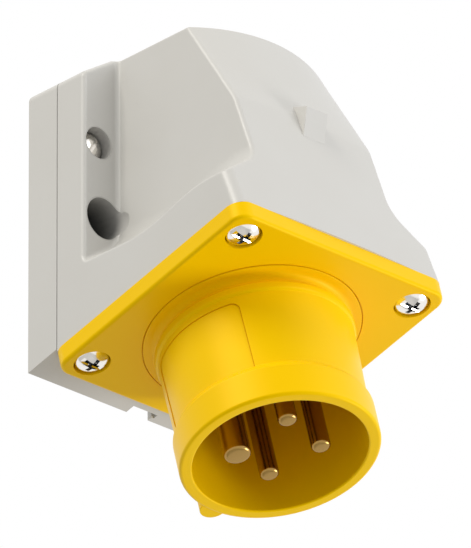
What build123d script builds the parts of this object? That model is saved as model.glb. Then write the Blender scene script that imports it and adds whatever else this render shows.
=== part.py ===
from build123d import *
from math import atan, cos, radians, sin, sqrt, tan
import os

# Wall-mounted power inlet, millimetres.
# The origin is on the wall, midway between the two wall screws.
# +Z is up and +Y points into the wall, so the inlet faces -Y and down.

# Housing envelope
housing_width = 70.0
housing_height = 84.9
wall_screw_height = 37.8
hip_width = 10.0
hip_drop = 6.5
crown_rise = 1.4
base_depth = 10.5
wall = 2.6
corner_round = 2.4
same = 0.1

# Hood front: how far forward its brow and knee stand, and the plan radius of brow, knee and foot
brow_forward = 52.8
brow_radius = 40.6
knee_height = 57.8
knee_forward = 65.3
knee_radius = 152.0
knee_round = 15.0
foot_radius = 600.0
skirt_round = 3.0

# Side recesses of the hood
recess_width = 11.6
crease_round = 1.2
top_round = 0.8
ledge_forward = 20.5
ledge_round = 1.3
shoulder_rear = 23.3
shoulder_front = 29.8
shoulder_rise_start = 36.0
shoulder_rise_end = 68.0
shoulder_slope = 36.0
shoulder_round = 8.0

# Tilted face that carries the inlet
mouth_tilt = 15.0
seat_forward = 43.2
hood_lip = 0.7

# Inlet flange and shroud
flange_overhang = 0.5
flange_set_in = 0.5
flange_thickness = 4.9
flange_corner = 4.5
flange_round = 0.9
shroud_length = 38.4
shroud_bore = 44.4
shroud_root = 49.8
shroud_waist = 48.6
collar_diameter = 50.9
collar_length = 10.6
bead_diameter = 50.9
bead_low = 3.1
bead_high = 5.3
root_disc = 55.4
root_disc_height = 0.25
root_round = 1.9
rim_round = 0.9
key_width = 6.4
key_radius = 28.3
key_set_back = 0.6
root_reach = 2.2
panel_angle = 74.0
panel_low = 7.8
panel_depth = 0.25
panel_corner = 2.0

# Screws that hold the flange to the hood
flange_screw_inset = 6.85
flange_screw_size = 4.0
flange_screw_head = 9.0
flange_screw_length = 12.0
head_gap = 0.25
flange_head_depth = 2.2
head_height = 1.9
head_dome = 0.6
slot_share = 0.18
cross_share = 0.52
slot_depth = 0.9
flange_slot_turn = 30.0

# Screws that hold the hood to the base
hood_screw_inset = 5.1
hood_screw_rise = 20.6
hood_screw_size = 3.5
hood_screw_head = 8.0
hood_screw_length = 12.0
hood_head_depth = 5.5
hood_slot_turn = 70.0

# Wall screws pass through the ears
wall_screw_inset = 6.8
wall_screw_hole = 5.2
wall_screw_access = 11.2
wall_screw_seat = 4.0
wall_screw_groove = 1.5

# Inside of the hood and the base
seat_plate = 3.0
screw_post = 9.6
tube_wall = 1.6
box_lip = 1.2
box_seal_depth = 1.5
insert_size = 6.2
insert_length = 8.0
hood_insert_size = 4.8
seam_gap = 0.3
seam_depth = 0.5
window_gap = 1.0

# Flange seal
flange_seal_inset = 1.4
flange_seal_width = 1.5
flange_seal_depth = 1.6
flange_seal_corner = 3.6

# Contact carrier, pins and terminals
pin_circle = 21.85
pin_turn = 30.0
phase_pin_size = 5.0
earth_pin_size = 7.0
phase_pin_reach = 36.0
earth_pin_reach = 38.1
pin_tip = 0.7
pin_root = 0.5
pin_root_height = 0.4
carrier_face = 0.8
carrier_gap = 0.2
carrier_flange = 2.6
carrier_flange_size = 50.0
carrier_ear_span = 58.6
carrier_ear_width = 9.0
carrier_screw_span = 53.0
carrier_screw_size = 3.0
carrier_screw_head = 5.6
carrier_screw_length = 6.5
carrier_seal_size = 49.0
carrier_seal_width = 2.0
carrier_seal_depth = 0.9
carrier_depth = 9.0
pin_collar = 1.6
pin_collar_depth = 2.5
pin_gap = 0.05
barrel_wall = 1.5
barrel_length = 15.0
wire_bore = 4.0
wire_bore_depth = 12.0
retainer_size = 38.0
retainer_thickness = 3.0
barrier_thickness = 1.6
barrier_height = 15.0
retainer_screw_size = 3.0
retainer_screw_head = 5.6
retainer_screw_radius = 15.3
retainer_screw_length = 8.0
clamp_screw_size = 3.0
clamp_screw_length = 4.6
clamp_screw_spacing = 5.4
clamp_screw_head = 4.4
clamp_head_height = 1.4
carrier_screw_bite = 3.9
retainer_bite = 5.0

# Catch for the lid of the mating connector
catch_width = 7.1
catch_reach = 4.2
catch_top = 23.9
catch_drop = 2.0
catch_face = 7.8

# Cable entry in the crown and knock-outs in the back
entry_forward = 30.0
entry_diameter = 20.4
entry_face = 25.0
entry_sink = 1.9
grommet_lip = 1.6
grommet_wall = 1.8
grommet_skin = 0.8
entry_wall = 2.6
knockout_diameter = 20.4
knockout_line = 0.8
knockout_depth = 1.2
knockout_rise = 22.0
back_wall = 2.8
vent_width = 7.2
vent_depth = 2.7
vent_height = 16.0
vent_offset = 1.8
vent_pad = 2.6
vent_step = 0.9

# Worked out from the sizes above
bottom = -wall_screw_height
crown = bottom + housing_height
hip = crown - crown_rise
spring = hip - hip_drop
knee = bottom + knee_height
half_width = housing_width / 2
half_crown = half_width - hip_width
half_body = half_width - recess_width
wall_screw_x = half_width - wall_screw_inset
hood_screw_x = half_width - hood_screw_inset
tilt = radians(mouth_tilt)
seat_height = bottom - hood_lip + seat_forward * tan(tilt)
seat = Plane(origin=(0, -seat_forward, seat_height), x_dir=(1, 0, 0), z_dir=(0, -sin(tilt), -cos(tilt)))
flange_size = housing_width + 2 * flange_overhang
flange_screw_pitch = flange_size - 2 * flange_screw_inset
flange_seal_size = flange_size - 2 * flange_seal_inset
front_foot = seat_forward + (flange_size / 2 + flange_set_in) * cos(tilt)
foot = bottom - hood_lip + front_foot * tan(tilt)
front_lean = atan((front_foot - knee_forward) / (knee - foot))
pin_spread = 360 / 4
far = 2 * housing_height
mouth = flange_thickness + shroud_length
bore_radius = shroud_bore / 2
retainer_back = -carrier_depth - retainer_thickness
barrel_radius = wire_bore / 2 + barrel_wall


def roof_face(low, inset=0.0):
    """Upright face with straight sides, a sloping hip on each side and a slightly crowned top."""
    sides = Polyline((half_crown, hip), (half_width, spring), (half_width, low), (-half_width, low),
                     (-half_width, spring), (-half_crown, hip))
    top = ThreePointArc((-half_crown, hip), (0, crown), (half_crown, hip))
    face = make_face(sides + top)
    return offset(face, -inset, kind=Kind.INTERSECTION) if inset else face


def roofed_block(low, back, front, inset=0.0):
    """Roofed face drawn out from one distance off the wall to another."""
    return extrude(Plane.XZ.offset(back) * roof_face(low, inset), amount=front - back)


def rod(radius, start, end):
    """Upright cylinder between two heights."""
    return Pos(0, 0, (start + end) / 2) * Cylinder(radius, end - start)


def forward_rod(x, z, radius, start, end):
    """Cylinder square to the wall between two distances off it."""
    return Plane.XZ * Pos(x, z, 0) * rod(radius, start, end)


def square_block(size, corner, start, end):
    """Square block with round corners between two heights."""
    face = RectangleRounded(size, size, corner)
    return extrude(Pos(0, 0, start) * face, amount=end - start)


def turned(points):
    """Solid of revolution about the upright axis, from (radius, height) points."""
    return revolve(Plane.XZ * make_face(Polyline(points, close=True)), Axis.Z)


def joined(shapes):
    """One shape made of all the given ones."""
    shapes = list(shapes)
    return shapes[0] + shapes[1:]


def mirrored(shape):
    """The shape with its mirror image across the middle."""
    return shape + mirror(shape, Plane.YZ)


def above_seat(lift=0.0):
    """Everything over the tilted seat, or over a plane that far above it."""
    return seat * Pos(0, 0, -far / 2 - lift) * Box(2 * far, 2 * far, far)


def bow(radius, x):
    """How far a bowed line falls back at a distance from its middle."""
    return radius - sqrt(radius ** 2 - x ** 2)


def beyond(low_value, high_value, low, high, height):
    """Value at a height on the straight line through two values at two heights."""
    return low_value + (high_value - low_value) * (height - low) / (high - low)


def plan_outline(height, wide, middle, fall):
    """Flat outline of all that lies behind a bowed line, at one height."""
    edge = fall - middle
    back = Polyline((-wide, edge), (-far, edge), (-far, far), (far, far), (far, edge), (wide, edge))
    front = ThreePointArc((-wide, edge), (0, -middle), (wide, edge))
    return Pos(0, 0, height) * make_face(back + front)


def front_room(inset):
    """Space behind the hood's front, which is round at the brow and nearly flat from the knee down."""
    shift = inset / cos(front_lean)
    wide = half_width + wall
    low = foot - wall
    skirt = plan_outline(low, wide, beyond(front_foot, knee_forward, foot, knee, low) - shift,
                         beyond(bow(foot_radius, wide), bow(knee_radius, wide), foot, knee, low))
    chest = plan_outline(knee, wide, knee_forward - shift, bow(knee_radius, wide))
    room = loft([skirt, chest], ruled=True) + extrude(skirt, amount=far, dir=(0, 0, -1))
    wide = half_body - inset
    high = crown + wall
    chest = plan_outline(knee, wide, knee_forward - shift, bow(knee_radius, wide))
    head = plan_outline(high, wide, beyond(knee_forward, brow_forward, knee, crown, high) - shift,
                        beyond(bow(knee_radius, wide), bow(brow_radius, wide), knee, crown, high))
    return room + loft([chest, head], ruled=True)


def hood_mass(inset=0.0):
    """Roofed body that runs forward to the hood's front."""
    return roofed_block(bottom - wall, base_depth, 2 * front_foot, inset) & front_room(inset)


def side_recess(inset=0.0):
    """Tool for the recess beside the body, on the +X side."""
    slope = radians(shoulder_slope)
    side = half_body - inset
    start = -(ledge_forward - inset)
    lift = (half_width - side) * tan(slope) - inset / cos(slope)
    rear = bottom + shoulder_rear + lift
    front = bottom + shoulder_front + lift
    level = Polyline((-shoulder_rise_start, rear), (start, rear), (start, far), (-far, far), (-far, front),
                     (-shoulder_rise_end, front))
    rise = Spline((-shoulder_rise_end, front), (-shoulder_rise_start, rear), tangents=[(1, 0), (1, 0)])
    face = Plane.YZ.offset(side) * make_face(level + rise)
    return extrude(face, amount=far, dir=(1, 0, -tan(slope)))


def rounded_recess():
    """The recess tool with the hollow rounds of the shoulder and the ledge."""
    tool = side_recess()
    inner = tool.faces().sort_by(Axis.X)[0]
    shoulder = [e for e in inner.edges() if e.center().Z < crown and e.center().Y < -ledge_forward - 1]
    tool = fillet(shoulder, shoulder_round)
    ledge = tool.faces().sort_by(Axis.Y)[-1]
    rim = [e for e in ledge.edges() if e.bounding_box().min.X < half_width and e.center().Z < crown + far / 2]
    return fillet(rim, ledge_round)


def near(value, target):
    """Whether a length lies close to another."""
    return abs(value - target) < same


def spring_edges(shape):
    """Edges where the hips meet the housing's sides."""
    outer = [e for e in shape.edges() if near(abs(e.center().X), half_width)]
    return [e for e in outer if near(e.center().Z, spring)]


def lengthwise(shape):
    """Edges that keep one distance from the middle plane."""
    return [e for e in shape.edges() if near(e.bounding_box().size.X, 0)]


def hood_outside():
    """Outer form of the hood, before it is hollowed."""
    mass = hood_mass() & above_seat()
    mass = fillet(spring_edges(mass), corner_round) - mirrored(rounded_recess())
    upright = [e for e in mass.edges() if near(abs(e.center().X), half_width) and e.center().Y < -knee_forward
               and e.bounding_box().size.Z > 2 * skirt_round]
    mass = fillet(upright, skirt_round)
    bend = [e for e in mass.edges() if near(e.center().Z, knee) and e.bounding_box().size.X > half_body]
    return fillet(bend, knee_round)


def soften_hood(shape):
    """Rounds along the creases, shoulders and ledges, then along the top's straight edges."""
    creases = [e for e in lengthwise(shape) if near(abs(e.center().X), half_body)
               and knee < e.center().Z < spring]
    shape = fillet(creases, crease_round)
    tops = [e for e in lengthwise(shape) if near(e.bounding_box().size.Z, 0)
            and e.center().Z > hip - top_round and e.bounding_box().size.Y > 2 * ledge_round]
    return fillet(tops, top_round)


def hood_cavity():
    """Room inside the hood, open towards the base."""
    return (hood_mass(wall) & above_seat(seat_plate)) - mirrored(side_recess(wall))


def carrier_outline(gap):
    """Round flange of the carrier with its two ears, widened by a gap."""
    ears = SlotOverall(carrier_ear_span + 2 * gap, carrier_ear_width + 2 * gap)
    return Circle(carrier_flange_size / 2 + gap) + ears


def hood():
    """Front housing with its recesses, posts, screw passages, catch and cable entry."""
    outside = soften_hood(hood_outside())
    shell = outside - hood_cavity()
    shell += outside & hood_posts()
    shell -= seat * extrude(Pos(0, 0, -flange_screw_length - wall) * carrier_outline(window_gap),
                            amount=flange_screw_length + 2 * wall)
    shell -= hood_passages()
    for x, f in corner_points(flange_screw_pitch):
        place = seat * Pos(x, f, 0)
        shell -= place * rod(insert_size / 2, -insert_length, 0)
        shell -= place * rod(flange_screw_size / 2 + head_gap, -flange_screw_length, -insert_length)
    seam = Pos(0, -base_depth - seam_gap / 2, 0) * Box(far, seam_gap, far)
    shell -= seam - roofed_block(2 * bottom, 0, base_depth + wall, seam_depth)
    shell += catch()
    shell -= Pos(0, -entry_forward, crown) * rod(entry_face / 2, -entry_sink, wall)
    shell -= Pos(0, -entry_forward, crown) * rod(entry_diameter / 2, -2 * wall - entry_sink, 0)
    return shell


def corner_points(pitch):
    """Corners of a square pattern."""
    half = pitch / 2
    return [(-half, -half), (-half, half), (half, half), (half, -half)]


def hood_posts():
    """Solid posts and tubes inside the hood, longer than they need to be."""
    posts = [seat * Pos(x, f, 0) * rod(screw_post / 2, -flange_screw_length - wall, 0)
             for x, f in corner_points(flange_screw_pitch)]
    for side in (-1, 1):
        wall_tube = forward_rod(side * wall_screw_x, 0, wall_screw_access / 2 + tube_wall, base_depth,
                                ledge_forward)
        hood_tube = forward_rod(side * hood_screw_x, hood_screw_rise, hood_screw_head / 2 + tube_wall,
                                base_depth, ledge_forward)
        posts += [wall_tube, hood_tube]
    entry = Pos(0, -entry_forward, crown) * rod(entry_face / 2 + tube_wall, -entry_sink - wall, 0)
    return joined(posts + [entry])


def hood_passages():
    """Holes for the wall screws and the hood screws."""
    cuts = []
    for side in (-1, 1):
        x = side * hood_screw_x
        bore = hood_screw_head / 2 + head_gap
        seat_at = ledge_forward - hood_head_depth
        groove_end = ledge_forward + wall_screw_groove
        cuts.append(forward_rod(side * wall_screw_x, 0, wall_screw_access / 2, 0, groove_end))
        cuts.append(Plane.XZ * Pos(side * wall_screw_x, 0, groove_end) * Sphere(wall_screw_access / 2))
        cuts.append(forward_rod(x, hood_screw_rise, bore, seat_at, ledge_forward + wall))
        cuts.append(forward_rod(x, hood_screw_rise, hood_screw_size / 2 + head_gap, 0, ledge_forward))
    return joined(cuts)


def catch():
    """Small wedge on the front that holds the lid of the mating connector."""
    low = catch_top - catch_drop - catch_face
    tip = (-front_at(catch_top - catch_drop) - catch_reach, catch_top - catch_drop)
    outline = Polyline((-front_at(catch_top) + wall / 2, catch_top), tip, (-front_at(low), low),
                       (-front_at(low) + wall / 2, low), close=True)
    return extrude(Plane.YZ * make_face(outline), amount=catch_width / 2, both=True)


def front_at(height):
    """How far off the wall the middle of the front stands at a height."""
    if height > knee:
        return beyond(knee_forward, brow_forward, knee, crown, height)
    return beyond(front_foot, knee_forward, foot, knee, height)


def over_floor(inset=0.0):
    """Everything over the base's tilted underside."""
    lift = inset / cos(tilt)
    outline = Polyline((far, bottom + lift - far * tan(tilt)), (-far, bottom + lift + far * tan(tilt)),
                       (-far, far), (far, far), close=True)
    return extrude(Plane.YZ * make_face(outline), amount=far, both=True)


def base_layer(inset, back, front):
    """Slice of the base's outline, inset evenly, between two distances off the wall."""
    return roofed_block(2 * bottom, back, front, inset) & over_floor(inset)


def back_box():
    """Shallow base with posts for the screws, knock-outs, a seal rebate and a drain notch."""
    block = base_layer(0, 0, base_depth)
    block = fillet(spring_edges(block), corner_round)
    shell = block - base_layer(wall, back_wall, base_depth)
    posts = []
    cuts = [base_layer(box_lip, base_depth - box_seal_depth, base_depth)]
    for side in (-1, 1):
        x = side * wall_screw_x
        posts.append(forward_rod(x, 0, wall_screw_access / 2 + tube_wall, 0, base_depth))
        cuts.append(forward_rod(x, 0, wall_screw_access / 2, wall_screw_seat, base_depth))
        cuts.append(forward_rod(x, 0, wall_screw_hole / 2, 0, base_depth))
        x = side * hood_screw_x
        posts.append(forward_rod(x, hood_screw_rise, hood_insert_size / 2 + tube_wall, 0, base_depth))
        cuts.append(forward_rod(x, hood_screw_rise, hood_insert_size / 2, back_wall / 2, base_depth))
    pad_depth = vent_depth + vent_pad
    pad = Box(vent_width + 2 * vent_pad, pad_depth, 2 * (vent_height + vent_pad))
    posts.append(Pos(vent_offset, -pad_depth / 2, bottom) * pad)
    cuts.append(Pos(vent_offset, -vent_depth / 2, bottom) * Box(vent_width, vent_depth, 2 * vent_height))
    step = Box(vent_width, vent_depth / 2, 2 * vent_height)
    cuts.append(Pos(vent_offset + vent_step, vent_depth / 4 - vent_depth, bottom) * step)
    for height in (-knockout_rise, knockout_rise):
        edge = knockout_diameter / 2
        ring = forward_rod(0, height, edge + knockout_line, back_wall - knockout_depth, back_wall)
        ring -= forward_rod(0, height, edge, 0, base_depth)
        cuts.append(ring)
    shell += joined(posts) & block
    return shell - joined(cuts)


def box_seal():
    """Gasket in the base's rebate."""
    ring = base_layer(box_lip, base_depth - box_seal_depth, base_depth)
    return ring - base_layer(wall, 0, base_depth + wall)


def flange_seal():
    """Square gasket let into the back of the flange."""
    outer = square_block(flange_seal_size, flange_seal_corner, 0, flange_seal_depth)
    inner = square_block(flange_seal_size - 2 * flange_seal_width, flange_seal_corner - flange_seal_width, 0,
                         flange_seal_depth)
    return seat * (outer - inner)


def shroud_form():
    """Turned outer form of the shroud, with its bead and collar."""
    root = flange_thickness
    collar = mouth - collar_length
    rise = (collar_diameter - shroud_waist) / 2
    return turned([
        (0, root - root_round), (shroud_root / 2 + root_round, root - root_round),
        (shroud_root / 2 + root_round, root), (shroud_root / 2, root + root_round),
        (shroud_root / 2, root + bead_low - rise / 3), (bead_diameter / 2, root + bead_low),
        (bead_diameter / 2, root + bead_high), (shroud_root / 2, root + bead_high + rise / 3),
        (shroud_waist / 2, collar), (collar_diameter / 2, collar + rise),
        (collar_diameter / 2, mouth), (0, mouth),
    ])


def key_profile(radius, width):
    """Outline of the key on the wall side, with a round tip."""
    centre = radius - width / 2
    return Pos(0, -centre) * Circle(width / 2) + Pos(0, -centre / 2) * Rectangle(width, centre)


def shroud_panel():
    """Tool for the shallow bare panel on the shroud's left side, from below the bead to the collar."""
    low = flange_thickness + panel_low
    high = mouth - collar_length
    place = Plane(origin=(0, 0, (low + high + panel_corner) / 2), x_dir=(0, 1, 0), z_dir=(-1, 0, 0))
    wide = shroud_waist * sin(radians(panel_angle / 2))
    outline = RectangleRounded(wide, high - low + panel_corner, panel_corner)
    window = extrude(place * outline, amount=collar_diameter)
    taper = Plane.XZ * make_face(Polyline((0, 0), (shroud_root / 2 - panel_depth, 0),
                                          (shroud_waist / 2 - panel_depth, high), (0, high), close=True))
    return window & rod(collar_diameter, low, high) - revolve(taper, Axis.Z)


def inlet_shell():
    """Flange, shroud and key as one moulding."""
    flange = square_block(flange_size, flange_corner, 0, flange_thickness)
    rim = [e for e in flange.edges() if near(e.center().Z, flange_thickness)]
    flange = fillet(rim, flange_round)
    print_of_key = key_profile(key_radius + root_reach, key_width + 2 * root_reach)
    foot_outline = Pos(0, 0, flange_thickness) * (Circle(root_disc / 2) + print_of_key)
    foot = extrude(foot_outline, amount=root_disc_height)
    shroud = shroud_form() - rod(bore_radius, 0, mouth)
    circles = [e for e in shroud.edges() if e.geom_type == GeomType.CIRCLE]
    lip = [e for e in circles if near(e.center().Z, mouth)]
    shroud = fillet(lip, rim_round)
    key = extrude(key_profile(key_radius, key_width), amount=mouth - key_set_back)
    shell = flange + foot - rod(bore_radius, 0, mouth)
    shell += shroud - shroud_panel() + (key - rod(bore_radius, 0, mouth))
    groove = square_block(flange_seal_size, flange_seal_corner, 0, flange_seal_depth)
    groove -= square_block(flange_seal_size - 2 * flange_seal_width, flange_seal_corner - flange_seal_width, 0,
                           flange_seal_depth)
    ring = rod(carrier_seal_size / 2, 0, carrier_seal_depth)
    ring -= rod(carrier_seal_size / 2 - carrier_seal_width, 0, carrier_seal_depth)
    shell -= groove + ring
    for x, f in corner_points(flange_screw_pitch):
        shell -= Pos(x, f, 0) * rod(flange_screw_size / 2 + head_gap, 0, flange_thickness)
        shell -= Pos(x, f, 0) * rod(flange_screw_head / 2 + head_gap, flange_thickness - flange_head_depth,
                                    flange_thickness)
    for side in (-1, 1):
        shell -= Pos(side * carrier_screw_span / 2, 0, 0) * rod(carrier_screw_size / 2, 0, carrier_screw_bite)
    return seat * shell


def carrier_seal():
    """Flat ring between the carrier and the flange."""
    ring = rod(carrier_seal_size / 2, 0, carrier_seal_depth)
    return seat * (ring - rod(carrier_seal_size / 2 - carrier_seal_width, 0, carrier_seal_depth))


def pin_places():
    """Name, angle and size of each pin, seen from the mouth."""
    names = ["phase_pin_1", "phase_pin_2", "earth_pin", "phase_pin_3"]
    for number, name in enumerate(names):
        earth = name == "earth_pin"
        size = earth_pin_size if earth else phase_pin_size
        reach = earth_pin_reach if earth else phase_pin_reach
        yield name, pin_turn + pin_spread * number, size, reach


def at_pin(angle):
    """Place of a pin on its circle, with X pointing away from the middle."""
    return Rot(0, 0, angle) * Pos(pin_circle / 2, 0, 0)


def contact_carrier():
    """Insulating block that the pins pass through."""
    body = extrude(Pos(0, 0, -carrier_flange) * carrier_outline(0), amount=carrier_flange)
    body += rod(bore_radius - carrier_gap, -carrier_flange, carrier_face)
    body += rod(retainer_size / 2, -carrier_depth, -carrier_flange)
    shelf = pin_collar_depth - carrier_depth
    for name, angle, size, reach in pin_places():
        body -= at_pin(angle) * rod(size / 2 + pin_root + pin_gap, -carrier_depth, carrier_face)
        body -= at_pin(angle) * rod(size / 2 + pin_collar + pin_gap, -carrier_depth, shelf)
    for side in (-1, 1):
        place = Pos(side * carrier_screw_span / 2, 0, 0)
        body -= place * rod(carrier_screw_size / 2 + head_gap, -carrier_flange, 0)
        body -= retainer_screw_place(side) * rod(retainer_screw_size / 2, -retainer_bite, 0)
    return seat * body


def retainer_screw_place(side):
    """Place of a retainer screw on the carrier's back, between two pins."""
    turn = pin_turn + pin_spread / 2 + pin_spread * side
    return Rot(0, 0, turn) * Pos(retainer_screw_radius, 0, retainer_bite - carrier_depth)


def pin_retainer():
    """Plate that traps the pins' collars, with barriers between the terminals."""
    plate = rod(retainer_size / 2, retainer_back, -carrier_depth)
    short = 2 * (retainer_screw_radius - retainer_screw_head / 2 - head_gap)
    for share, length in ((0.5, retainer_size), (1.5, short)):
        barrier = Pos(0, 0, retainer_back - barrier_height / 2) * Box(length, barrier_thickness, barrier_height)
        plate += Rot(0, 0, pin_turn + share * pin_spread) * barrier
    for name, angle, size, reach in pin_places():
        plate -= at_pin(angle) * rod(barrel_radius + pin_gap, retainer_back, -carrier_depth)
    for side in (-1, 1):
        plate -= retainer_screw_place(side) * rod(retainer_screw_size / 2 + head_gap,
                                                  -retainer_bite - retainer_thickness, -retainer_bite)
    return seat * plate


def pin(angle, size, reach):
    """Turned contact pin with a thicker root, its collar and its wire barrel."""
    tip = flange_thickness + reach
    back = retainer_back - barrel_length
    root = size / 2 + pin_root
    step = carrier_face + pin_root_height
    collar = size / 2 + pin_collar
    body = turned([
        (0, tip), (size / 2 - pin_tip, tip), (size / 2, tip - pin_tip), (size / 2, step), (root, step),
        (root, pin_collar_depth - carrier_depth), (collar, pin_collar_depth - carrier_depth),
        (collar, -carrier_depth), (barrel_radius, -carrier_depth), (barrel_radius, back), (0, back),
    ])
    body -= rod(wire_bore / 2, back, back + wire_bore_depth)
    for height in clamp_heights():
        body -= Pos(0, 0, height) * Rot(0, 90, 0) * rod(clamp_screw_size / 2, 0, barrel_radius + wall)
    return seat * at_pin(angle) * body


def clamp_heights():
    """Heights of the two clamp screws on each barrel."""
    first = retainer_back - barrel_length + clamp_screw_spacing / 2
    return [first, first + clamp_screw_spacing]


def screw(size, length, head, height, dome, cross=False):
    """Slotted screw under its head at height zero, pointing down."""
    profile = Polyline((0, height), (0, -length), (size / 2, -length), (size / 2, 0), (head / 2, 0),
                       (head / 2, height - dome))
    top = ThreePointArc((head / 2, height - dome), (head / 4, height - dome / 4), (0, height))
    body = revolve(Plane.XZ * make_face(profile + top), Axis.Z)
    body -= Pos(0, 0, height) * Box(head, head * slot_share, 2 * slot_depth)
    if cross:
        body -= Pos(0, 0, height) * Box(head * cross_share, head * slot_share, 2 * slot_depth + dome)
        body -= Pos(0, 0, height) * Box(head * slot_share, head * cross_share, 2 * slot_depth + dome)
    return body


def insert(size, outer, length):
    """Threaded brass bush, with its top at height zero."""
    return rod(outer / 2, -length, 0) - rod(size / 2, -length, 0)


def flange_screws():
    """Four screws that hold the flange."""
    one = screw(flange_screw_size, flange_screw_length, flange_screw_head, head_height, head_dome, cross=True)
    under = flange_thickness - flange_head_depth
    return [seat * Pos(x, f, under) * Rot(0, 0, flange_slot_turn) * one
            for x, f in corner_points(flange_screw_pitch)]


def hood_screws():
    """Two screws that hold the hood to the base."""
    one = screw(hood_screw_size, hood_screw_length, hood_screw_head, head_height, head_dome)
    under = ledge_forward - hood_head_depth
    return [Plane.XZ * Pos(side * hood_screw_x, hood_screw_rise, under) * Rot(0, 0, hood_slot_turn) * one
            for side in (-1, 1)]


def carrier_screws():
    """Two screws through the carrier's ears."""
    one = screw(carrier_screw_size, carrier_screw_length, carrier_screw_head, head_height, head_dome)
    return [seat * Pos(side * carrier_screw_span / 2, 0, -carrier_flange) * Rot(180, 0, 0) * one
            for side in (-1, 1)]


def retainer_screws():
    """Two screws through the retainer."""
    one = screw(retainer_screw_size, retainer_screw_length, retainer_screw_head, head_height, head_dome)
    under = Pos(0, 0, -retainer_bite - retainer_thickness)
    return [seat * retainer_screw_place(side) * under * Rot(180, 0, 0) * one for side in (-1, 1)]


def clamp_screws():
    """Two terminal screws on each pin, square to its barrel."""
    screws = []
    one = screw(clamp_screw_size, clamp_screw_length, clamp_screw_head, clamp_head_height, head_dome / 2)
    for name, angle, size, reach in pin_places():
        for height in clamp_heights():
            place = Pos(0, 0, height) * Rot(0, 90, 0) * Pos(0, 0, wire_bore / 4 + clamp_screw_length)
            screws.append(seat * at_pin(angle) * place * one)
    return screws


def flange_screw_inserts():
    """Four brass bushes in the hood's posts."""
    return [seat * Pos(x, f, 0) * insert(flange_screw_size, insert_size, insert_length)
            for x, f in corner_points(flange_screw_pitch)]


def hood_screw_inserts():
    """Two brass bushes in the base's posts."""
    return [Plane.XZ * Pos(side * hood_screw_x, hood_screw_rise, base_depth)
            * insert(hood_screw_size, hood_insert_size, base_depth - back_wall / 2) for side in (-1, 1)]


def entry_grommet():
    """Rubber membrane in the cable entry, with a lip above and below the wall."""
    inside = entry_diameter / 2
    rim = entry_face / 2 - head_gap
    throat = inside - grommet_wall
    body = turned([
        (0, -grommet_skin), (throat, 0), (inside - grommet_wall / 2, grommet_lip), (rim, grommet_lip), (rim, 0),
        (inside, 0), (inside, -entry_wall), (throat, -entry_wall), (throat, -2 * grommet_skin),
        (0, -2 * grommet_skin),
    ])
    return Pos(0, -entry_forward, crown - entry_sink) * body


def save(name, shapes):
    """Write one node, as one solid or as a group of separate ones."""
    shape = Compound(children=list(shapes)) if isinstance(shapes, list) else shapes
    export_step(shape, f"parts/{name}.step")


os.makedirs("parts", exist_ok=True)
save("back_box", back_box())
save("hood", hood())
save("box_seal", box_seal())
save("inlet_shell", inlet_shell())
save("flange_seal", flange_seal())
save("contact_carrier", contact_carrier())
save("carrier_seal", carrier_seal())
save("pin_retainer", pin_retainer())
for pin_name, pin_angle, pin_size, pin_reach in pin_places():
    save(pin_name, pin(pin_angle, pin_size, pin_reach))
save("flange_screws", flange_screws())
save("hood_screws", hood_screws())
save("carrier_screws", carrier_screws())
save("retainer_screws", retainer_screws())
save("clamp_screws", clamp_screws())
save("flange_screw_inserts", flange_screw_inserts())
save("hood_screw_inserts", hood_screw_inserts())
save("entry_grommet", entry_grommet())
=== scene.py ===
import bmesh
import bpy
import math
from mathutils import Matrix, Vector


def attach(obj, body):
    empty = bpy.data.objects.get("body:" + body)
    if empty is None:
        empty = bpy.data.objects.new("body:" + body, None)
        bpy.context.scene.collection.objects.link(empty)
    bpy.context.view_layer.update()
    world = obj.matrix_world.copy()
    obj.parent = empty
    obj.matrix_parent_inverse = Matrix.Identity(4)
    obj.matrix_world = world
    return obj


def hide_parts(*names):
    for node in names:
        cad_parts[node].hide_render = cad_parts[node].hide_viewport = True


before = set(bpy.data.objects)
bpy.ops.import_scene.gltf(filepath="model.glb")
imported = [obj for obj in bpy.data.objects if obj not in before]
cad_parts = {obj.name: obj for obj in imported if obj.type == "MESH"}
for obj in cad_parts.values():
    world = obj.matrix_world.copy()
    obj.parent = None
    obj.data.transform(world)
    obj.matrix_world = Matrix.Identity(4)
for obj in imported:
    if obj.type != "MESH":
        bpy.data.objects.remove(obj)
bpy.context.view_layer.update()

MM = 0.001
# In mm: points this close are one, and how far a point may lie from where it is looked for
WELD, SPUN_WELD, HAIR, RING_SLACK = 0.0005, 0.001, 0.01, 0.02
# Steps round a full turn
FINE_TURN, PLAIN_TURN, SMALL_TURN, WELL_TURN = 144, 96, 64, 48
# Steps in a rounded edge, from small ones to the key's apron
SMALL_EDGE, SOFT_EDGE, FINE_EDGE, CORNER_EDGE, APRON_EDGE = 4, 6, 8, 12, 16
# Angles in degrees above which an edge stays crisp
CRISP, SKIN_CRISP, MOULDING_CRISP = 35, 30, 32

# Camera, fitted to the photograph's edges and circles
PHOTO_HEIGHT = 548
AZIMUTH, ELEVATION, ROLL = -43.063, -26.348, -0.306
DISTANCE = 2929.7 * MM
PIXELS_PER_MM = 3.985
AIM_RIGHT, AIM_UP = 26.05 * MM, 35.17 * MM
BASE_CORNER_HEIGHT = -37.8 * MM
SENSOR = 36.0
NEAREST, FARTHEST = 0.1, 50.0

# Square soft lights in metres: place, side, power and colour
LIGHTS = {
    "left_light": ((-1.5, 0.0, 1.4), 1.0, 26.5, "#FFFBF2"),
    "front_light": ((0.5, -1.85, 0.8), 1.0, 14.0, "#FFFFFF"),
    "low_light": ((1.5, -1.3, -1.0), 0.8, 22.0, "#FFFFFF"),
}
LIGHT_AIM = Vector((0, -0.04, -0.01))
ROUND_LIGHT, WHITE_BACKGROUND = 0.44, 1.0
FLOOR_REACH, FLOOR_HEIGHT = 1.6, -2.4

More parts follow.
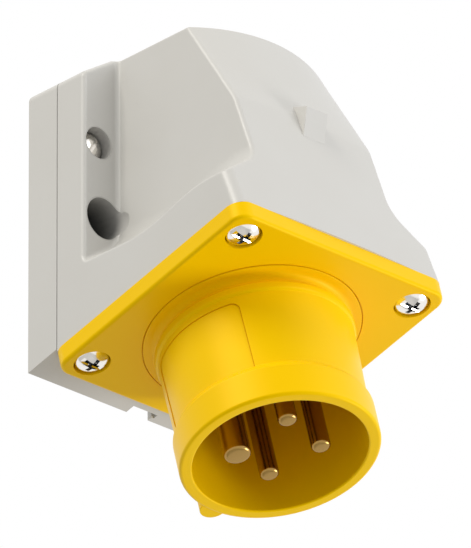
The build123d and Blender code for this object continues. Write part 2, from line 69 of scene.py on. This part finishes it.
# Sizes of the inlet in mm. Most are the part's, give or take half a millimetre. The shroud's neck is 0.8 mm
# slimmer, the screw heads stand 1.3 and 1.9 mm higher, and only the scene has the groove round the shroud's
# foot and the line round the panel. The pieces are made upright, with the wall on their -Y side, and then
# put on the seat.
TILT = math.radians(15.0)
SEAT_OUT, SEAT_DOWN = 43.2, 26.925
SEAT = Matrix(((1, 0, 0, 0), (0, -math.cos(TILT), -math.sin(TILT), -SEAT_OUT * MM),
               (0, math.sin(TILT), -math.cos(TILT), -SEAT_DOWN * MM), (0, 0, 0, 1)))
FLANGE, FLANGE_THICK, FLANGE_CORNER, FLANGE_ROUND = 71.0, 4.9, 4.5, 1.0
HOLE_LOW, HOLE_HIGH = -2.0, 9.0
BORE, WAIST, ROOT, COLLAR = 22.2, 24.3, 24.9, 25.45
DISC, DISC_TOP, NECK = 27.7, 5.1, 24.1
GROOVE, GROOVE_DEPTH, GROOVE_INSET = 0.3, 0.6, 0.1
BEAD_LOW, BEAD_HIGH, BEAD_RISE, BEAD_FALL = 8.0, 10.2, 0.9, 0.4
COLLAR_START, COLLAR_RISE, MOUTH = 32.7, 1.15, 43.3
SHROUD_FOOT = 0.2
# The shroud's wall from its foot to its mouth: radius, height, and how round the edge is there
SHROUD_WALL = [
    (BORE, SHROUD_FOOT, 0), (DISC, SHROUD_FOOT, 0), (DISC, DISC_TOP, 0.15), (NECK, DISC_TOP, 1.9),
    (NECK, BEAD_LOW - BEAD_RISE, 0), (COLLAR, BEAD_LOW, 0.5), (COLLAR, BEAD_HIGH, 0.6),
    (ROOT, BEAD_HIGH + BEAD_FALL, 0.5), (WAIST, COLLAR_START, 0.6), (COLLAR, COLLAR_START + COLLAR_RISE, 0.6),
    (COLLAR, MOUTH, 0.9), (BORE, MOUTH, 0.5),
]
KEY_WIDTH, KEY_REACH, KEY_END, KEY_APRON = 6.8, 28.6, 42.6, 2.2
KEY_START, KEY_FOOT, KEY_ROUND = BORE + 1.0, 3.0, 0.5
PANEL_LOW, PANEL_WIDTH, PANEL_DEPTH, PANEL_CORNER = 12.2, 29.6, 0.2, 2.2
# Width and depth of the line round the panel, and how much deeper the tool for what it leaves standing goes
PANEL_HIGH, PANEL_LINE, PANEL_LINE_DEPTH, PANEL_CLEAR = COLLAR_START - 0.2, 0.25, 0.3, 1.0
# The tool that cuts the panel: its thickness and middle, and the cone that it leaves standing
PANEL_TOOL, PANEL_TOOL_AT, CONE_SPREAD, CONE_TAPER, CONE_TOP = 12.0, -24.0, 0.27, 0.1, 40.0
PIN_CIRCLE, PIN_ROUND = 10.925, 1.0
PIN_ROOT, PIN_ROOT_TOP = 0.15, 1.2
PIN_COLLAR, PIN_COLLAR_TOP, PIN_COLLAR_LOW = 1.6, -6.5, -9.0
BARREL, BARREL_END, WIRE_BORE, WIRE_BORE_END = 3.5, -27.0, 2.0, -15.0
# Angle on the circle, radius and tip of each pin
PINS = {"phase_pin_1": (30, 2.5, 40.9), "phase_pin_2": (120, 2.5, 40.9), "earth_pin": (210, 3.5, 43.0),
        "phase_pin_3": (300, 2.5, 40.9)}

# Sizes of the screws in mm. A head has a radius, its rim's and crown's heights, and its slot's width.
SCREW_PITCH, SCREW_FLOOR, SCREW_RECESS, SCREW_WELL = 57.3, 2.7, 1.2, 4.75
SCREW_SPOTS = [(across * SCREW_PITCH / 2 * MM, along * SCREW_PITCH / 2 * MM)
               for across in (-1, 1) for along in (-1, 1)]
HOOD_SCREW_AT, HOOD_SCREW_TURN = (29.9, -15.0, 20.6), 62.0
FLANGE_HEAD, HOOD_HEAD = (4.4, 1.5, 3.2, 1.7), (4.0, 2.0, 3.8, 1.2)
HEAD_ROUND, DOME_STEPS, SHANK_SHARE, SHANK_END = 0.3, 8, 0.44, -12.0
# The last is how far below the crown the painted shade inside the cross recess begins
SLOT_DEPTH, CROSS, CROSS_DEPTH, CROSS_SHARE, RECESS_SHADE_DEPTH = 0.95, 4.6, 2.2, 0.65, 1.0
# Height of the tools that cut the wells, slots and crosses, and a slot tool's length in radii of the head
TOOL_HEIGHT, SLOT_REACH = 4.0, 3

# Deep bores for the screws behind the recesses, in mm: across, up and radius of each, and how far before the
# wall they start, where the shade painted in them turns full and where they end
BORES = ((28.2, 0, 6.0), (29.9, 20.6, 4.6))
BORE_MOUTH, BORE_DARK, BORE_END = -22.0, -10.0, -2.0

# Width in mm of a plastic's drift of colour, how much its grain changes its gloss, the grain's weight, its
# IOR, and the painted shade deep in the screw bores. Then how far a metal's roughness goes below and above its
# middle.
DRIFT_MM, GLOSS_SPREAD, GRAIN_WEIGHT, PLASTIC_IOR, PAINTED_BORE_SHADE = 22, 0.05, 0.2, 1.5, "#2A2A28"
POLISH_BELOW, POLISH_ABOVE = 0.04, 0.06


def linear(code):
    """Linear colour of an sRGB hex code."""
    parts = [int(code[i:i + 2], 16) / 255 for i in (1, 3, 5)]
    return [c / 12.92 if c <= 0.04045 else ((c + 0.055) / 1.055) ** 2.4 for c in parts] + [1.0]


def new_material(name):
    """Material with an empty node tree."""
    material = bpy.data.materials.new(name)
    material.use_nodes = True
    material.node_tree.nodes.clear()
    return material, material.node_tree


def add(tree, kind, inputs=None, **settings):
    """One node with its settings and inputs. An input that is an output socket is linked, any other is set."""
    node = tree.nodes.new(kind)
    for key, value in settings.items():
        setattr(node, key, value)
    for name, value in (inputs or {}).items():
        socket = node.inputs[name]
        if isinstance(value, bpy.types.NodeSocket):
            tree.links.new(value, socket)
        else:
            socket.default_value = value
    return node


def painted_shade_in_bores(tree, place):
    """Mask of painted shade: zero on the surface and one deep in the screw bores, which lie alike on both sides.
    """
    folded = add(tree, "ShaderNodeVectorMath", {0: place}, operation="ABSOLUTE").outputs[0]
    level = add(tree, "ShaderNodeVectorMath", {0: folded, 1: (1, 0, 1)}, operation="MULTIPLY").outputs[0]
    within = []
    for across, up, radius in BORES:
        away = add(tree, "ShaderNodeVectorMath", {0: level, 1: (across * MM, 0, up * MM)}, operation="DISTANCE")
        within.append(add(tree, "ShaderNodeMath", {0: away.outputs["Value"], 1: radius * MM},
                          operation="LESS_THAN"))
    either = add(tree, "ShaderNodeMath", {0: within[0].outputs[0], 1: within[1].outputs[0]}, operation="MAXIMUM")
    along = add(tree, "ShaderNodeSeparateXYZ", {"Vector": place}).outputs["Y"]
    depth = add(tree, "ShaderNodeMapRange",
                {"Value": along, "From Min": BORE_MOUTH * MM, "From Max": BORE_DARK * MM})
    front = add(tree, "ShaderNodeMath", {0: along, 1: BORE_END * MM}, operation="LESS_THAN")
    deep = add(tree, "ShaderNodeMath", {0: depth.outputs["Result"], 1: front.outputs[0]}, operation="MULTIPLY")
    inside = add(tree, "ShaderNodeMath", {0: deep.outputs[0], 1: either.outputs[0]}, operation="MULTIPLY")
    return inside.outputs[0]


def moulded_plastic(name, colour, shade, roughness, grain_mm, relief_mm, sheen="#FFFFFF", paint_bore_shade=False):
    """Moulded plastic or rubber: an even colour that drifts a little, and the fine grain of an eroded mould,
    which softens its gloss. Real grain is about 0.05 mm wide, and is drawn wider so that it shows."""
    material, tree = new_material(name)
    place = add(tree, "ShaderNodeTexCoord").outputs["Object"]
    grain = add(tree, "ShaderNodeTexNoise", {"Vector": place, "Scale": 1 / (grain_mm * MM), "Detail": 3.0})
    drift = add(tree, "ShaderNodeTexNoise", {"Vector": place, "Scale": 1 / (DRIFT_MM * MM), "Detail": 2.0})
    tint = add(tree, "ShaderNodeMix", {"Factor": drift.outputs["Fac"], "A": linear(colour), "B": linear(shade)},
               data_type="RGBA")
    # Painted shade: the colour turns dark deep in the screw bores
    if paint_bore_shade:
        tint = add(tree, "ShaderNodeMix", {"Factor": painted_shade_in_bores(tree, place), "A": tint.outputs["Result"],
                                           "B": linear(PAINTED_BORE_SHADE)}, data_type="RGBA")
    gloss = add(tree, "ShaderNodeMapRange", {"Value": grain.outputs["Fac"], "To Min": roughness - GLOSS_SPREAD,
                                             "To Max": roughness + GLOSS_SPREAD})
    bump = add(tree, "ShaderNodeBump", {"Height": grain.outputs["Fac"], "Strength": GRAIN_WEIGHT,
                                        "Distance": relief_mm * MM})
    shader = add(tree, "ShaderNodeBsdfPrincipled",
                 {"Base Color": tint.outputs["Result"], "Roughness": gloss.outputs["Result"],
                  "Normal": bump.outputs["Normal"], "IOR": PLASTIC_IOR, "Specular Tint": linear(sheen)})
    add(tree, "ShaderNodeOutputMaterial", {"Surface": shader.outputs["BSDF"]})
    return material


def turned_metal(name, colour, shade, roughness, mark_mm):
    """Turned metal: bright, with the uneven polish that a tool leaves. Its marks are drawn about four times as
    wide as real ones, so that they show."""
    material, tree = new_material(name)
    place = add(tree, "ShaderNodeTexCoord").outputs["Object"]
    polish = add(tree, "ShaderNodeTexNoise", {"Vector": place, "Scale": 1 / (mark_mm * MM), "Detail": 2.0})
    tint = add(tree, "ShaderNodeMix", {"Factor": polish.outputs["Fac"], "A": linear(colour), "B": linear(shade)},
               data_type="RGBA")
    gloss = add(tree, "ShaderNodeMapRange", {"Value": polish.outputs["Fac"], "To Min": roughness - POLISH_BELOW,
                                             "To Max": roughness + POLISH_ABOVE})
    shader = add(tree, "ShaderNodeBsdfPrincipled",
                 {"Base Color": tint.outputs["Result"], "Roughness": gloss.outputs["Result"], "Metallic": 1.0})
    add(tree, "ShaderNodeOutputMaterial", {"Surface": shader.outputs["BSDF"]})
    return material


def lathe(shape, profile, steps):
    """Turns a closed (radius, height) outline in mm about the upright axis."""
    points = [shape.verts.new((radius * MM, 0, height * MM)) for radius, height in profile]
    lines = [shape.edges.new(pair) for pair in zip(points, points[1:] + points[:1])
             if pair[0].co.x or pair[1].co.x]
    bmesh.ops.spin(shape, geom=points + lines, cent=(0, 0, 0), axis=(0, 0, 1), angle=math.tau, steps=steps,
                   use_merge=True)
    bmesh.ops.remove_doubles(shape, verts=shape.verts, dist=SPUN_WELD * MM)


def bevel(shape, edges, size, segments):
    """Rounds edges to a size in mm."""
    bmesh.ops.bevel(shape, geom=edges, offset=size * MM, offset_type="OFFSET", segments=segments, profile=0.5,
                    affect="EDGES", material=-1, clamp_overlap=True)


def round_ring(shape, radius, height, size, segments):
    """Rounds the ring of edges at a radius and height."""
    def on_ring(vert):
        return (abs(math.hypot(vert.co.x, vert.co.y) - radius * MM) < RING_SLACK * MM
                and abs(vert.co.z - height * MM) < RING_SLACK * MM)
    bevel(shape, [e for e in shape.edges if on_ring(e.verts[0]) and on_ring(e.verts[1])], size, segments)


def block(shape, size, centre, corner=0.0, segments=CORNER_EDGE, wall_side_only=False):
    """Block of a size in mm about a centre, with round upright corners, on all sides or on the wall's only."""
    made = bmesh.ops.create_cube(shape, size=MM)["verts"]
    bmesh.ops.scale(shape, vec=size, verts=made)
    bmesh.ops.translate(shape, vec=[c * MM for c in centre], verts=made)
    if corner:
        upright = [e for e in shape.edges if e.verts[0] in made and e.verts[1] in made
                   and (e.verts[0].co - e.verts[1].co).xy.length < HAIR * MM
                   and not (wall_side_only and e.verts[0].co.y > centre[1] * MM)]
        bevel(shape, upright, corner, segments)


def as_object(name, shape, material):
    """Object with a bmesh's shape in one material."""
    mesh = bpy.data.meshes.new(name)
    shape.to_mesh(mesh)
    shape.free()
    piece = bpy.data.objects.new(name, mesh)
    bpy.context.scene.collection.objects.link(piece)
    mesh.materials.append(material)
    return piece


def smooth(piece, crisp=CRISP):
    """Smooth shading, with edges kept crisp above an angle in degrees."""
    shape = bmesh.new()
    shape.from_mesh(piece.data)
    for face in shape.faces:
        face.smooth = True
    for edge in shape.edges:
        edge.smooth = edge.calc_face_angle(math.pi) < math.radians(crisp)
    shape.to_mesh(piece.data)
    shape.free()
    even = piece.modifiers.new("even_shading", "WEIGHTED_NORMAL")
    even.keep_sharp = True


def new_piece(name, shape, material, place=None, crisp=CRISP):
    """Smooth object from a bmesh that is put in place."""
    bmesh.ops.remove_doubles(shape, verts=shape.verts, dist=WELD * MM)
    bmesh.ops.recalc_face_normals(shape, faces=shape.faces)
    if place:
        bmesh.ops.transform(shape, matrix=place, verts=shape.verts)
    piece = as_object(name, shape, material)
    smooth(piece, crisp)
    return piece


def joined(parts):
    """One shape from several pieces, which are removed."""
    whole = bmesh.new()
    for part in parts:
        whole.from_mesh(part.data)
        bpy.data.objects.remove(part)
    return whole


def cut(piece, tool):
    """Takes a tool piece's shape out of a piece, and removes the tool."""
    piece.modifiers.clear()
    tool.modifiers.clear()
    boolean = piece.modifiers.new("cut", "BOOLEAN")
    boolean.operation = "DIFFERENCE"
    boolean.solver = "EXACT"
    boolean.use_self = True
    boolean.object = tool
    bpy.context.view_layer.update()
    baked = bpy.data.meshes.new_from_object(piece.evaluated_get(bpy.context.evaluated_depsgraph_get()))
    piece.modifiers.clear()
    piece.data = baked
    bpy.data.objects.remove(tool)
    smooth(piece)


def stand_for(piece, *nodes):
    """The piece rides on the root and shows instead of CAD nodes."""
    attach(piece, "root")
    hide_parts(*nodes)


def dressed(node, name, material):
    """Smooth-shaded copy of a CAD node that stands for it."""
    shape = bmesh.new()
    shape.from_mesh(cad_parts[node].data)
    bmesh.ops.remove_doubles(shape, verts=shape.verts, dist=WELD * MM)
    piece = as_object(name, shape, material)
    smooth(piece, SKIN_CRISP)
    stand_for(piece, node)


def flange_plate(material):
    """Square flange with a soft rim, the shroud's bore, the groove round its foot and four screw wells."""
    flange = bmesh.new()
    block(flange, (FLANGE, FLANGE, FLANGE_THICK), (0, 0, FLANGE_THICK / 2), FLANGE_CORNER)
    rim = [e for e in flange.edges if min(v.co.z for v in e.verts) > (FLANGE_THICK - HAIR) * MM]
    bevel(flange, rim, FLANGE_ROUND, SOFT_EDGE)
    flange = new_piece("flange_plate", flange, material)
    holes = bmesh.new()
    lathe(holes, [(0, HOLE_LOW), (BORE, HOLE_LOW), (BORE, HOLE_HIGH), (0, HOLE_HIGH)], PLAIN_TURN)
    inner, outer, floor = DISC - GROOVE_INSET, DISC + GROOVE, FLANGE_THICK - GROOVE_DEPTH
    lathe(holes, [(inner, floor), (outer, floor), (outer, HOLE_HIGH), (inner, HOLE_HIGH)], FINE_TURN)
    for x, y in SCREW_SPOTS:
        well = bmesh.ops.create_cone(holes, cap_ends=True, segments=WELL_TURN, radius1=SCREW_WELL * MM,
                                     radius2=SCREW_WELL * MM, depth=TOOL_HEIGHT * MM)["verts"]
        bmesh.ops.translate(holes, verts=well, vec=(x, y, (SCREW_RECESS + TOOL_HEIGHT / 2) * MM))
    cut(flange, new_piece("holes", holes, material))
    return flange


def panel_tool(material, inset, depth):
    """Round-cornered block that takes a bare panel out of the shroud's side down to a depth."""
    low, wide = PANEL_LOW + inset, PANEL_WIDTH - 2 * inset
    panel = bmesh.new()
    block(panel, (PANEL_TOOL, wide, PANEL_HIGH - low), (PANEL_TOOL_AT, 0, (low + PANEL_HIGH) / 2))
    corners = [e for e in panel.edges if abs(e.verts[0].co.x - e.verts[1].co.x) > MM
               and e.verts[0].co.z < (low + HAIR) * MM]
    bevel(panel, corners, PANEL_CORNER - inset, FINE_EDGE)
    panel = new_piece("panel_tool", panel, material)
    cone = bmesh.new()
    lathe(cone, [(0, 0), (ROOT + CONE_SPREAD - depth, 0), (WAIST - depth, COLLAR_START),
                 (WAIST - depth - CONE_TAPER, CONE_TOP), (0, CONE_TOP)], FINE_TURN)
    cut(panel, new_piece("panel_cone", cone, material))
    return panel


def round_shroud(material):
    """Turned shroud with its bead and collar, a bare sunk panel on its side and a fine line round that."""
    shroud = bmesh.new()
    lathe(shroud, [spot[:2] for spot in SHROUD_WALL], FINE_TURN)
    for radius, height, rounding in SHROUD_WALL:
        if rounding:
            round_ring(shroud, radius, height, rounding, SOFT_EDGE)
    shroud = new_piece("shroud", shroud, material)
    cut(shroud, panel_tool(material, 0, PANEL_DEPTH))
    line = panel_tool(material, 0, PANEL_DEPTH + PANEL_LINE_DEPTH)
    cut(line, panel_tool(material, PANEL_LINE, PANEL_DEPTH + PANEL_CLEAR))
    cut(shroud, line)
    return shroud


def shroud_key(material):
    """Key on the shroud's side towards the wall, with a wider apron at its foot."""
    key = bmesh.new()
    for spread, top, segments in ((0, KEY_END, CORNER_EDGE), (KEY_APRON, DISC_TOP, APRON_EDGE)):
        width, reach = KEY_WIDTH + 2 * spread, KEY_REACH + spread
        block(key, (width, reach - KEY_START, top - KEY_FOOT),
              (0, -(reach + KEY_START) / 2, (top + KEY_FOOT) / 2), width / 2 - HAIR, segments, True)
    end = [e for e in key.edges if min(v.co.z for v in e.verts) > (KEY_END - HAIR) * MM
           and max(v.co.y for v in e.verts) < -(KEY_START + HAIR) * MM]
    bevel(key, end, KEY_ROUND, SMALL_EDGE)
    return new_piece("key", key, material)


def inlet_moulding(material):
    """Flange, shroud and key: one yellow moulding with soft edges."""
    whole = joined([flange_plate(material), round_shroud(material), shroud_key(material)])
    stand_for(new_piece("inlet_moulding", whole, material, SEAT, MOULDING_CRISP), "inlet_shell")


def contact_pins(material):
    """Turned pins with round ends, their collars and their wire barrels."""
    for node, (angle, radius, tip) in PINS.items():
        root, collar = radius + PIN_ROOT, radius + PIN_COLLAR
        pin = bmesh.new()
        lathe(pin, [(0, tip), (radius, tip), (radius, PIN_ROOT_TOP), (root, PIN_ROOT_TOP),
                    (root, PIN_COLLAR_TOP), (collar, PIN_COLLAR_TOP), (collar, PIN_COLLAR_LOW),
                    (BARREL, PIN_COLLAR_LOW), (BARREL, BARREL_END), (WIRE_BORE, BARREL_END),
                    (WIRE_BORE, WIRE_BORE_END), (0, WIRE_BORE_END)], SMALL_TURN)
        round_ring(pin, radius, tip, PIN_ROUND, FINE_EDGE)
        turn = Matrix.Rotation(math.radians(angle), 4, "Z") @ Matrix.Translation((PIN_CIRCLE * MM, 0, 0))
        stand_for(new_piece(node + "_turned", pin, material, SEAT @ turn), node)


def notch(screw, material, width, length, floor):
    """Cuts a straight notch into a screw's head, down to a height."""
    tool = bmesh.new()
    block(tool, (width, length, TOOL_HEIGHT), (0, 0, floor + TOOL_HEIGHT / 2))
    cut(screw, new_piece("notch_tool", tool, material))


def screw_head(material, radius, rim, crown, slot):
    """Domed screw with a full-width slot, upright, with its seat at height zero."""
    rise = crown - rim
    ball = (radius ** 2 + rise ** 2) / (2 * rise)
    lean = math.asin(radius / ball)
    dome = [(ball * math.sin(lean * n / DOME_STEPS), crown - ball * (1 - math.cos(lean * n / DOME_STEPS)))
            for n in range(DOME_STEPS + 1)]
    shank = radius * SHANK_SHARE
    screw = bmesh.new()
    lathe(screw, dome + [(radius, 0), (shank, 0), (shank, SHANK_END), (0, SHANK_END)], SMALL_TURN)
    round_ring(screw, radius, rim, HEAD_ROUND, SMALL_EDGE)
    screw = new_piece("screw", screw, material)
    notch(screw, material, SLOT_REACH * radius, slot, crown - SLOT_DEPTH)
    return screw


def cross_recess(screw, material, recess_shade, crown, slot):
    """Cuts a cross recess into a head, and paints shade on its inside with a dark metal."""
    bar = slot * CROSS_SHARE
    notch(screw, material, CROSS, bar, crown - CROSS_DEPTH)
    notch(screw, material, bar, CROSS, crown - CROSS_DEPTH)
    # Painted shade: the faces deep in the cross get the dark metal
    screw.data.materials.append(recess_shade)
    for face in screw.data.polygons:
        x, y, z = face.center
        if 0 < z < (crown - RECESS_SHADE_DEPTH) * MM and max(abs(x), abs(y)) < (CROSS / 2 + RING_SLACK) * MM:
            face.material_index = 1


def visible_screws(material, recess_shade):
    """Four domed screws in the flange and two deep in the hood."""
    screws = []
    for x, y in SCREW_SPOTS:
        screw = screw_head(material, *FLANGE_HEAD)
        cross_recess(screw, material, recess_shade, *FLANGE_HEAD[2:])
        screw.data.transform(SEAT @ Matrix.Translation((x, y, SCREW_FLOOR * MM)))
        screws.append(screw)
    piece = new_piece("flange_screws_domed", joined(screws), material)
    # Second material: the dark metal for the painted shade in the crosses
    piece.data.materials.append(recess_shade)
    stand_for(piece, "flange_screws")
    screws = []
    x, y, z = HOOD_SCREW_AT
    for side in (-1, 1):
        screw = screw_head(material, *HOOD_HEAD)
        screw.data.transform(Matrix.Translation((side * x * MM, y * MM, z * MM))
                             @ Matrix.Rotation(math.pi / 2, 4, "X")
                             @ Matrix.Rotation(math.radians(HOOD_SCREW_TURN), 4, "Z"))
        screws.append(screw)
    stand_for(new_piece("hood_screws_slotted", joined(screws), material), "hood_screws")


def camera_axes():
    """Directions from the object to the camera, and the picture's right and up."""
    a, e, r = (math.radians(v) for v in (AZIMUTH, ELEVATION, ROLL))
    back = Vector((math.sin(a) * math.cos(e), -math.cos(a) * math.cos(e), math.sin(e)))
    level = Vector((math.cos(a), math.sin(a), 0))
    over = back.cross(level)
    right = math.cos(r) * level + math.sin(r) * over
    up = -math.sin(r) * level + math.cos(r) * over
    return back, right, up


def place_camera():
    """Camera where the photograph was taken from."""
    back, right, up = camera_axes()
    lens = bpy.data.cameras.new("photo_camera")
    lens.sensor_width = SENSOR
    lens.lens = PIXELS_PER_MM / MM * DISTANCE / PHOTO_HEIGHT * SENSOR
    lens.clip_start, lens.clip_end = NEAREST, FARTHEST
    camera = bpy.data.objects.new("photo_camera", lens)
    bpy.context.scene.collection.objects.link(camera)
    turn = Matrix((right, up, back)).transposed().to_4x4()
    aim = right * AIM_RIGHT + up * AIM_UP + Vector((0, 0, BASE_CORNER_HEIGHT))
    camera.matrix_world = Matrix.Translation(aim + back * DISTANCE) @ turn
    bpy.context.scene.camera = camera


def area_light(name, place, side, power, colour):
    """Square soft light that faces the object."""
    data = bpy.data.lights.new(name, "AREA")
    data.shape = "SQUARE"
    data.size = side
    data.energy = power
    data.color = linear(colour)[:3]
    light = bpy.data.objects.new(name, data)
    bpy.context.scene.collection.objects.link(light)
    light.location = place
    light.rotation_euler = (LIGHT_AIM - Vector(place)).to_track_quat("-Z", "Y").to_euler()


def build_world():
    """Plain light from all round, and a white background for the camera and for what mirrors or lets through."""
    world = bpy.data.worlds.new("studio")
    bpy.context.scene.world = world
    world.use_nodes = True
    tree = world.node_tree
    tree.nodes.clear()
    path = add(tree, "ShaderNodeLightPath")
    soft = add(tree, "ShaderNodeBackground", {"Color": linear("#FFFFFF"), "Strength": ROUND_LIGHT})
    white = add(tree, "ShaderNodeBackground", {"Color": linear("#FFFFFF"), "Strength": WHITE_BACKGROUND})
    seen = add(tree, "ShaderNodeMath", {0: path.outputs["Is Camera Ray"], 1: path.outputs["Is Glossy Ray"]},
               operation="MAXIMUM")
    clear = add(tree, "ShaderNodeMath", {0: seen.outputs[0], 1: path.outputs["Is Transmission Ray"]},
                operation="MAXIMUM")
    mix = add(tree, "ShaderNodeMixShader", {0: clear.outputs[0], 1: soft.outputs[0], 2: white.outputs[0]})
    add(tree, "ShaderNodeOutputWorld", {"Surface": mix.outputs[0]})


def build_floor():
    """Pale matt floor well below the wall-mounted object."""
    material, tree = new_material("pale_floor")
    shader = add(tree, "ShaderNodeBsdfPrincipled", {"Base Color": linear("#F4F4F2"), "Roughness": 0.9})
    add(tree, "ShaderNodeOutputMaterial", {"Surface": shader.outputs["BSDF"]})
    shape = bmesh.new()
    bmesh.ops.create_grid(shape, x_segments=1, y_segments=1, size=FLOOR_REACH)
    bmesh.ops.translate(shape, verts=shape.verts, vec=(0, 0, FLOOR_HEIGHT))
    floor = as_object("floor", shape, material)


# Moulded ABS: pale warm grey with a satin face that shows its form by soft shading. Shade is painted deep in its
# bores.
housing = moulded_plastic("light_grey_abs", "#D3D2CE", "#CECCC7", roughness=0.38, grain_mm=0.35, relief_mm=0.02,
                          paint_bore_shade=True)
# Moulded polyamide: strong yellow with broad, soft highlights that stay warm
yellow = moulded_plastic("yellow_polyamide", "#FFD100", "#FECC00", roughness=0.4, grain_mm=0.3, relief_mm=0.015,
                         sheen="#FFC800")
# Turned brass, a little aged: brownish gold with long streaks of light down the pins
brass = turned_metal("turned_brass", "#AC8B50", "#9C7B42", roughness=0.22, mark_mm=0.4)
# Nickel plate on steel: almost white, with near-mirror domes
nickel = turned_metal("nickel_plated_steel", "#F6F3EE", "#EAE6E0", roughness=0.14, mark_mm=0.5)
# Painted shade in the cross recess: dull blue-grey metal that makes the cross stand out
recess_shade_metal = turned_metal("painted_shade_in_the_cross_recess", "#555C68", "#484F5A", roughness=0.45, mark_mm=0.3)
# Rubber with carbon black: matt, with hardly a highlight
rubber = moulded_plastic("black_rubber", "#1C1C1C", "#222222", roughness=0.8, grain_mm=0.3, relief_mm=0.02)
# Rubber with chalk: matt mid grey, duller than the housing round it
grommet_rubber = moulded_plastic("grey_rubber", "#8E8E8A", "#868682", roughness=0.7, grain_mm=0.3,
                                 relief_mm=0.02)
# Filled polyamide: dark mustard that sinks back behind the pins
insulator = moulded_plastic("dark_yellow_insulator", "#9A7400", "#8F6A00", roughness=0.6, grain_mm=0.4,
                            relief_mm=0.02)

FINISHES = {
    "back_box": housing, "hood": housing, "inlet_shell": yellow, "contact_carrier": insulator,
    "pin_retainer": insulator, "box_seal": rubber, "flange_seal": rubber, "carrier_seal": rubber,
    "earth_pin": brass, "phase_pin_1": brass, "phase_pin_2": brass, "phase_pin_3": brass,
    "flange_screws": nickel, "hood_screws": nickel, "carrier_screws": nickel, "retainer_screws": nickel,
    "clamp_screws": nickel, "flange_screw_inserts": brass, "hood_screw_inserts": brass,
    "entry_grommet": grommet_rubber,
}
for node, finish in FINISHES.items():
    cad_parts[node].data.materials.clear()
    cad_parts[node].data.materials.append(finish)
for node in ("back_box", "hood", "entry_grommet", "contact_carrier"):
    dressed(node, node + "_skin", FINISHES[node])
inlet_moulding(yellow)
contact_pins(brass)
visible_screws(nickel, recess_shade_metal)

place_camera()
build_world()
build_floor()
for name, light in LIGHTS.items():
    area_light(name, *light)

bpy.context.scene.view_settings.view_transform = "Standard"
